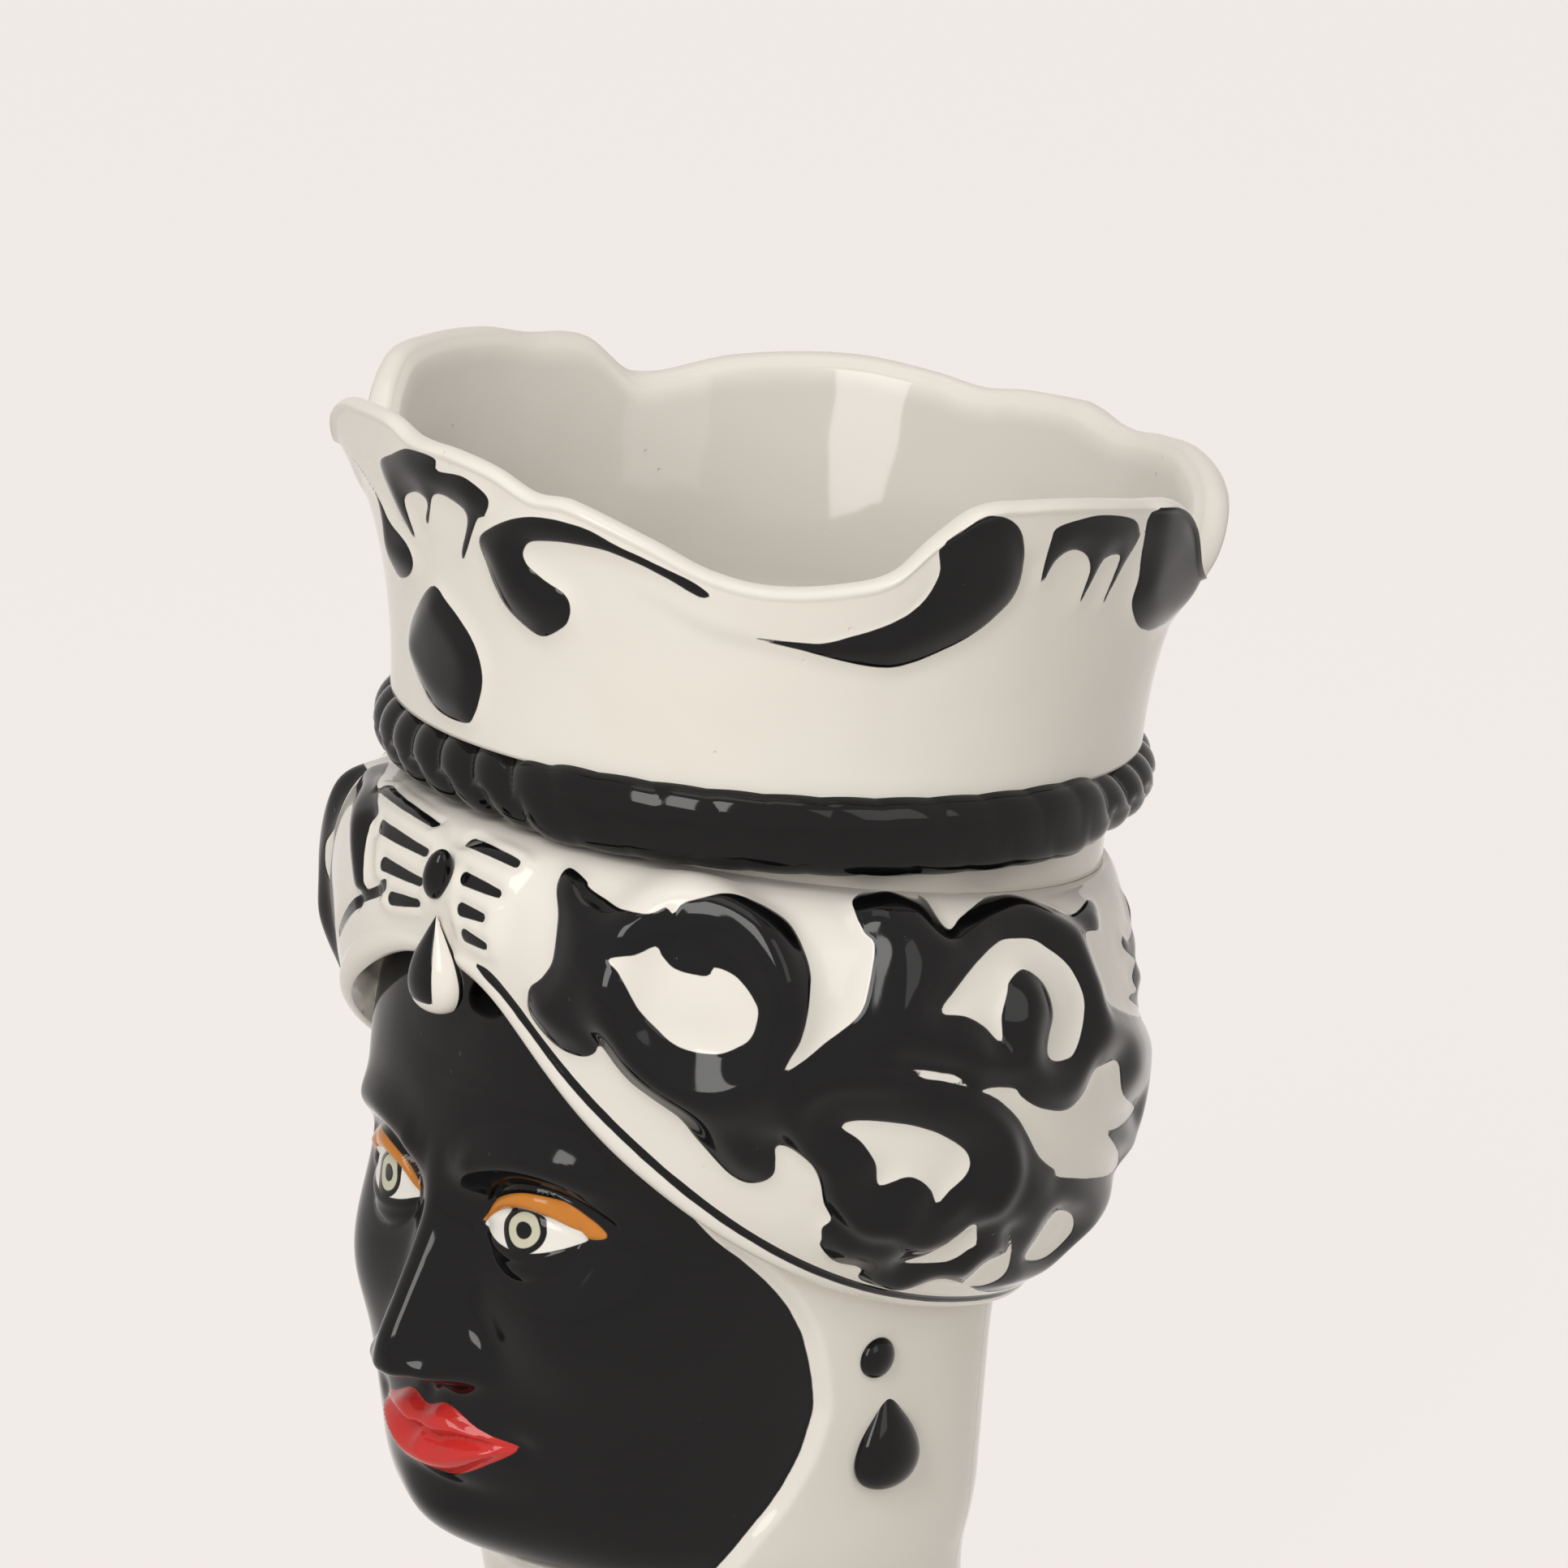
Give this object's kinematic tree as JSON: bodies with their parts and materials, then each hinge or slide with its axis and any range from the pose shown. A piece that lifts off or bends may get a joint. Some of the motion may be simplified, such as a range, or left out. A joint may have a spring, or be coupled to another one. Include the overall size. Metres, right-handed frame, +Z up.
{
  "type": "face vase",
  "caption": "Glazed earthenware vase shaped as a turbaned head, hollow from a wavy crown rim down to a slab floor, for holding flowers or a small plant.",
  "frame": {"origin": "middle of the neck's underside below the crown, on the surface that the vase stands on", "axes": "+Z up, the face looks to -Y, +X to the sitter's left"},
  "size_m": [0.1788, 0.1897, 0.2989],
  "materials": {
    "white_glaze": "gloss",
    "black_glaze": "gloss"
  },
  "bodies": {
    "root": {"floor_slab": "white_glaze", "face_shell": "black_glaze", "nape_shell": "white_glaze", "turban_front": "white_glaze", "turban_back": "white_glaze", "collar_ring": "white_glaze", "rope_band": "black_glaze", "crown_wall": "white_glaze", "crown_palmettes": "black_glaze", "crown_scrolls": "black_glaze", "crown_commas": "black_glaze", "crown_drop": "black_glaze", "rosettes": "black_glaze", "turban_curls": "black_glaze", "front_knot": "white_glaze", "knot_bead": "black_glaze", "forehead_pendant": "white_glaze", "ear_studs": "black_glaze", "ear_drops": "black_glaze"}
  },
  "joints": []
}
